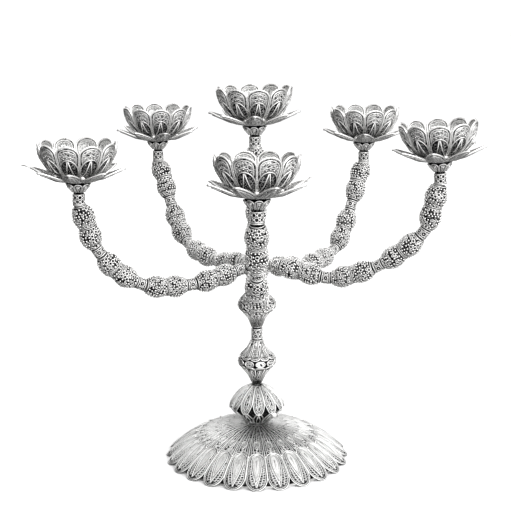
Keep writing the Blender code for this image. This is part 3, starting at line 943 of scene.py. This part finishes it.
def dome_web():
    web = Web()
    rnd = np.random.default_rng(5)
    places = turns(SCALLOPS, math.radians(270)) + rnd.normal(0, 0.004, SCALLOPS)
    rim = DOME.length
    ys = at_r(65.0)
    laid = dict(lift=dome_lift)
    head, tip = at_r(47.0), at_r(70.8)
    middle, reach = (head + tip) / 2, (tip - head) / 2

    def drop_half(y):
        t = np.arccos(np.clip((y - middle) / reach, -1, 1))
        return DROP_WIDE * np.sin(t) * np.sin(t / 2) ** DROP_POWER

    def oval(inset, end):
        """Both ends round: the head at r = 47 and the scallop at the rim."""
        lower = petal(dome_half, at_r(53), ys, rim, inset, 8, 19)
        turn = np.linspace(0, math.pi, 11)[1:-1]
        wide = dome_half(at_r(53)) - inset
        upper = np.stack([wide * np.cos(turn), at_r(53) - (at_r(53) - end) * np.sin(turn)], 1)
        return np.vstack([lower, upper])

    wire(web, DOME, places, oval(0.3, at_r(46.2)), 0.45, 0.6, 6, True, **laid)
    wire(web, DOME, places, oval(1.5, at_r(47.6)), 0.28, 0.45, 5, True, **laid)
    for size, wide, width in ((1.0, DROP_WIDE, 0.4), (0.78, 3.7, 0.3)):
        path = drop(middle - reach * 0.75 * (1 - size), wide, reach * size, True, 28, DROP_POWER)
        wire(web, DOME, places, path, width, width * 1.5, 5, True, **laid)
    wire(web, DOME, places, line((0.0, at_r(52)), (0.0, at_r(66))), 0.3, 0.45, 4, **laid)
    for s in (-1, 1):
        # open zigzag between the drop and the scalloped edge
        y = np.linspace(at_r(57), at_r(69.8), 14)
        inside = np.stack([s * (drop_half(y) + 0.3), y], 1)
        outside = np.stack([s * (petal_half(dome_half, ys, rim, 1.5)(y) - 0.1), y], 1)
        wire(web, DOME, places, zigzag(inside, outside, 8), 0.34, 0.55, 3, **laid)
        wire(web, DOME, places, 0.5 * (inside + outside), 0.32, 0.55, 4, **laid)
    # fine radial lines of the upper tier, each petal with a small drop at its head
    for share, width, first, last in RAYS:
        y = np.linspace(at_r(first), at_r(last), 22)
        sway = rnd.normal(0, 0.17, 22) * (0.2 < abs(share) < 1)
        wire(web, DOME, places, np.stack([share * dome_half(y) + sway, y], 1), width, width * 1.1, 4,
             h=0.1, **laid)
    wire(web, DOME, places, drop(at_r(38.0), 2.3, 4.6, True, 18, 0.9), 0.38, 0.6, 5, True, **laid)
    wire(web, DOME, places, drop(at_r(37.4), 1.1, 2.7, True, 14, 0.9), 0.3, 0.5, 4, True, **laid)
    grains(web, DOME, places + math.pi / SCALLOPS, [(0.0, at_r(49.5))], 0.75, h=0.5, level=1, **laid)

    def shade(x, y):
        """Bright inside the drops, darker beside them and up the dome. Near the rim beside the drops it
        is darkest: painted shade for the small holes there.
        """
        inside = np.abs(x) < drop_half(y)
        # painted shade: the dark sheet between the zigzag's rungs stands for small holes
        beside = np.where(y > at_r(61.5), -0.7, 0.0)
        return np.where(inside, 1.0, np.where(y > at_r(42), beside, -0.3))

    sheet(web, DOME, places, petal_half(dome_half, ys, rim, 0.5), 0.1, rim - 0.6, 11, 36, 0.3, h=-0.35,
          polish=shade, **laid)
    hoop(web, DOME, 0.3, 0.35, 0.35, h=-0.9)
    return web


# ===== put it all in place

def flower_matrix(foot, azimuth, lean):
    """Where a flower stands, with its axis tipped inward about the foot of its neck."""
    across = Vector((-math.sin(azimuth), math.cos(azimuth), 0.0))
    tip = Matrix.Rotation(-math.radians(lean), 3, across)
    centre = Vector(foot) + tip @ Vector((0.0, 0.0, NECK_LENGTH))
    return Matrix.Translation(centre * MM) @ tip.to_4x4()


flower_place = {}
for index, (side, (azimuth, top, stations)) in enumerate(ARMS.items()):
    turn = math.radians(azimuth)
    out = np.array((math.cos(turn), math.sin(turn), 0.0))
    across = (-math.sin(turn), math.cos(turn), 0.0)
    rises = stations + tuple((r, top + fall) for r, fall in ARM_HEAD)
    lay_links(f"arm_{side}", [out * r + (0, 0, z) for r, z in rises], LINKS, across, 10 * index + 1)
    foot = out * ARM_R + (0, 0, top - NECK_LENGTH)
    flower_place[side] = flower_matrix(foot, turn, LEAN.get(side, 0.0))
centre_head = (CENTRE_SHIFT, 0.0, CENTRE_TOP - NECK_LENGTH)
lay_links("centre", np.linspace((0.0, 0.0, CENTRE_FOOT), centre_head, 4), CENTRE_LINKS,
          (0.0, 1.0, 0.0), 71)
flower_place["centre"] = flower_matrix(centre_head, 0.0, LEAN["centre"])

for index, (side, place) in enumerate(flower_place.items()):
    body = f"flower_{side}"
    petals = Matrix.Rotation(math.radians(PETAL_TURN[side] - 90.0), 4, "Z")
    leaves = Matrix.Rotation(math.radians(LEAF_TURN[side]), 4, "Z")
    tip = {"left": "wire", "front": "loop"}.get(side)
    piece(f"filigree_cup_{side}", cup_web(100 + index), body, f"candle_cup_{side}",
          place @ petals)
    piece(f"filigree_pan_{side}", pan_web(200 + index, tip), body, f"drip_pan_{side}",
          place @ leaves, LEAF_PAINTED_LIGHT_MATERIALS)
    piece(f"filigree_calyx_{side}", calyx_web(), "frame", f"calyx_{side}",
          place @ Matrix.Rotation(random.uniform(-0.2, 0.2), 4, "Z"))

piece("filigree_hub", hub_web(), "frame", "hub")
piece("filigree_hub_collar", ring_web(4.6, 146.3, 144.1, 1), "frame", "hub_collar")
piece("filigree_ferrule", ring_web(4.25, 107.2, 97.6, 2), "frame", "ferrule")
STEM = {
    "lower": (((4.3, 97.2), (6.6, 91.8), (9.9, 87.6), (12.3, 85.2)),
              ((12.3, 85.1), (13.9, 83.2), (14.7, 80.5), (14.0, 77.6), (12.6, 75.9)),
              ((2.9, 60.4), (4.0, 64.2), (6.5, 68.0), (9.5, 72.0), (12.5, 75.7))),
    "upper": (((4.5, 143.7), (6.9, 137.2), (9.8, 133.3), (12.2, 131.0)),
              ((12.3, 130.9), (13.8, 129.0), (14.7, 126.2), (13.9, 123.6), (12.4, 121.8)),
              ((3.9, 107.7), (4.0, 109.8), (5.6, 113.3), (8.1, 117.2), (12.2, 121.6))),
}
for level, (top_line, belt_line, foot_line) in STEM.items():
    for part, web in (("cone_top", cone_web(top_line, True)), ("cone_foot", cone_web(foot_line, False)),
                      ("belt", belt_web(belt_line))):
        piece(f"filigree_{level}_{part}", web, "frame", f"{level}_{part}")
KNOP_CAP = ((4.0, 59.7), (9.8, 56.9), (14.9, 52.9), (19.0, 47.8), (20.7, 44.9), (21.1, 41.6))
KNOP_BOWL = ((8.2, 29.3), (12.2, 32.5), (16.4, 36.9), (19.4, 40.2), (20.9, 42.6))
piece("filigree_knop_upper", knop_web(KNOP_CAP, True), "frame", "knop_upper",
      materials=SOFT_MATERIALS)
piece("filigree_knop_lower", knop_web(KNOP_BOWL, False), "frame", "knop_lower",
      materials=SOFT_MATERIALS)
piece("filigree_dome", dome_web(), "frame", "base_dome", materials=SOFT_MATERIALS)

for name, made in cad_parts.items():
    if name.startswith("stud_") or name in ("tie_rod", "base_plate"):
        if not made.material_slots:
            made.data.materials.append(plain_silver)
        for holder in made.material_slots:
            holder.material = plain_silver

# ===== studio

FLOOR = 40.0  # half its side in metres: the horizon stays above the picture
SCREEN_R, SCREEN_Z, SIDES = 8.0, (-0.02, 12.0), 48
AIM = (0.0, 0.0, 0.17)


def studio_mesh(name, points, faces, material):
    mesh = bpy.data.meshes.new(name)
    mesh.from_pydata(points, [], faces)
    mesh.materials.append(material)
    made = bpy.data.objects.new(name, mesh)
    bpy.context.scene.collection.objects.link(made)
    return made


pale, tree, shader = new_material("pale_floor")
shader.inputs["Roughness"].default_value = 0.8
noise = node(tree, "ShaderNodeTexNoise", Scale=2.0)
mix_colour(tree, noise.outputs["Fac"], (0.94, 0.94, 0.94), (0.9259, 0.9259, 0.9259), shader)
square = [(-FLOOR, -FLOOR, 0), (FLOOR, -FLOOR, 0), (FLOOR, FLOOR, 0), (-FLOOR, FLOOR, 0)]
floor = studio_mesh("floor", square, [(0, 1, 2, 3)], pale)
floor.visible_glossy = False  # the silver mirrors the dim side of the tent, not the floor

# a white screen round the back of the floor, seen only by the camera
white, tree, shader = new_material("white_screen")
shader.inputs["Emission Color"].default_value = (1.0, 1.0, 1.0, 1.0)
shader.inputs["Emission Strength"].default_value = 1.0
points = [(SCREEN_R * math.cos(a), SCREEN_R * math.sin(a), z) for z in SCREEN_Z for a in turns(SIDES)]
faces = [(i, (i + 1) % SIDES, (i + 1) % SIDES + SIDES, i + SIDES) for i in range(SIDES)]
screen = studio_mesh("screen", points, faces, white)
screen.visible_diffuse = screen.visible_glossy = screen.visible_shadow = False


def area(name, location, size, power):
    """A round lamp aimed at the middle of the object."""
    lamp = bpy.data.lights.new(name, "AREA")
    lamp.shape = "DISK"
    lamp.size = size
    lamp.energy = power
    made = bpy.data.objects.new(name, lamp)
    made.location = location
    way = np.array(AIM) - np.array(location)
    made.rotation_euler = (math.atan2(math.hypot(way[0], way[1]), -way[2]), 0.0,
                           math.atan2(way[1], way[0]) - math.pi / 2)
    bpy.context.scene.collection.objects.link(made)


area("key", (0.8, -0.7, 1.3), 1.2, 9.0)
area("fill", (-0.5, 1.6, 0.7), 1.8, 11.0)  # for the views from behind

# a tent of soft light: bright above and to the right, dark to the left
world = bpy.data.worlds.new("studio")
bpy.context.scene.world = world
world.use_nodes = True
tree = world.node_tree
tent = node(tree, "ShaderNodeVectorMath", operation="DOT_PRODUCT")
tent.inputs[1].default_value = (0.44, -0.48, 0.45)
tree.links.new(node(tree, "ShaderNodeTexCoord").outputs["Generated"], tent.inputs[0])
glow = map_range(tree, tent.outputs["Value"], -0.6, 0.75, 0.1, 1.62, "SMOOTHSTEP")
background = tree.nodes["Background"]
background.inputs["Color"].default_value = (1.0, 1.0, 1.0, 1.0)
tree.links.new(glow, background.inputs["Strength"])

# the photograph's view, solved from the ellipses of its foot, pans and cups
camera_data = bpy.data.cameras.new("camera")
camera_data.sensor_width = 36.0
camera_data.lens = 85.04
camera_data.shift_x = -0.0027
camera_data.clip_start = 0.01
camera = bpy.data.objects.new("camera", camera_data)
camera.location = (0.0, -0.9163, 0.3762)
camera.rotation_euler = (math.radians(77.0), 0.0, 0.0)
bpy.context.scene.collection.objects.link(camera)
bpy.context.scene.camera = camera
bpy.context.scene.view_settings.view_transform = "Standard"
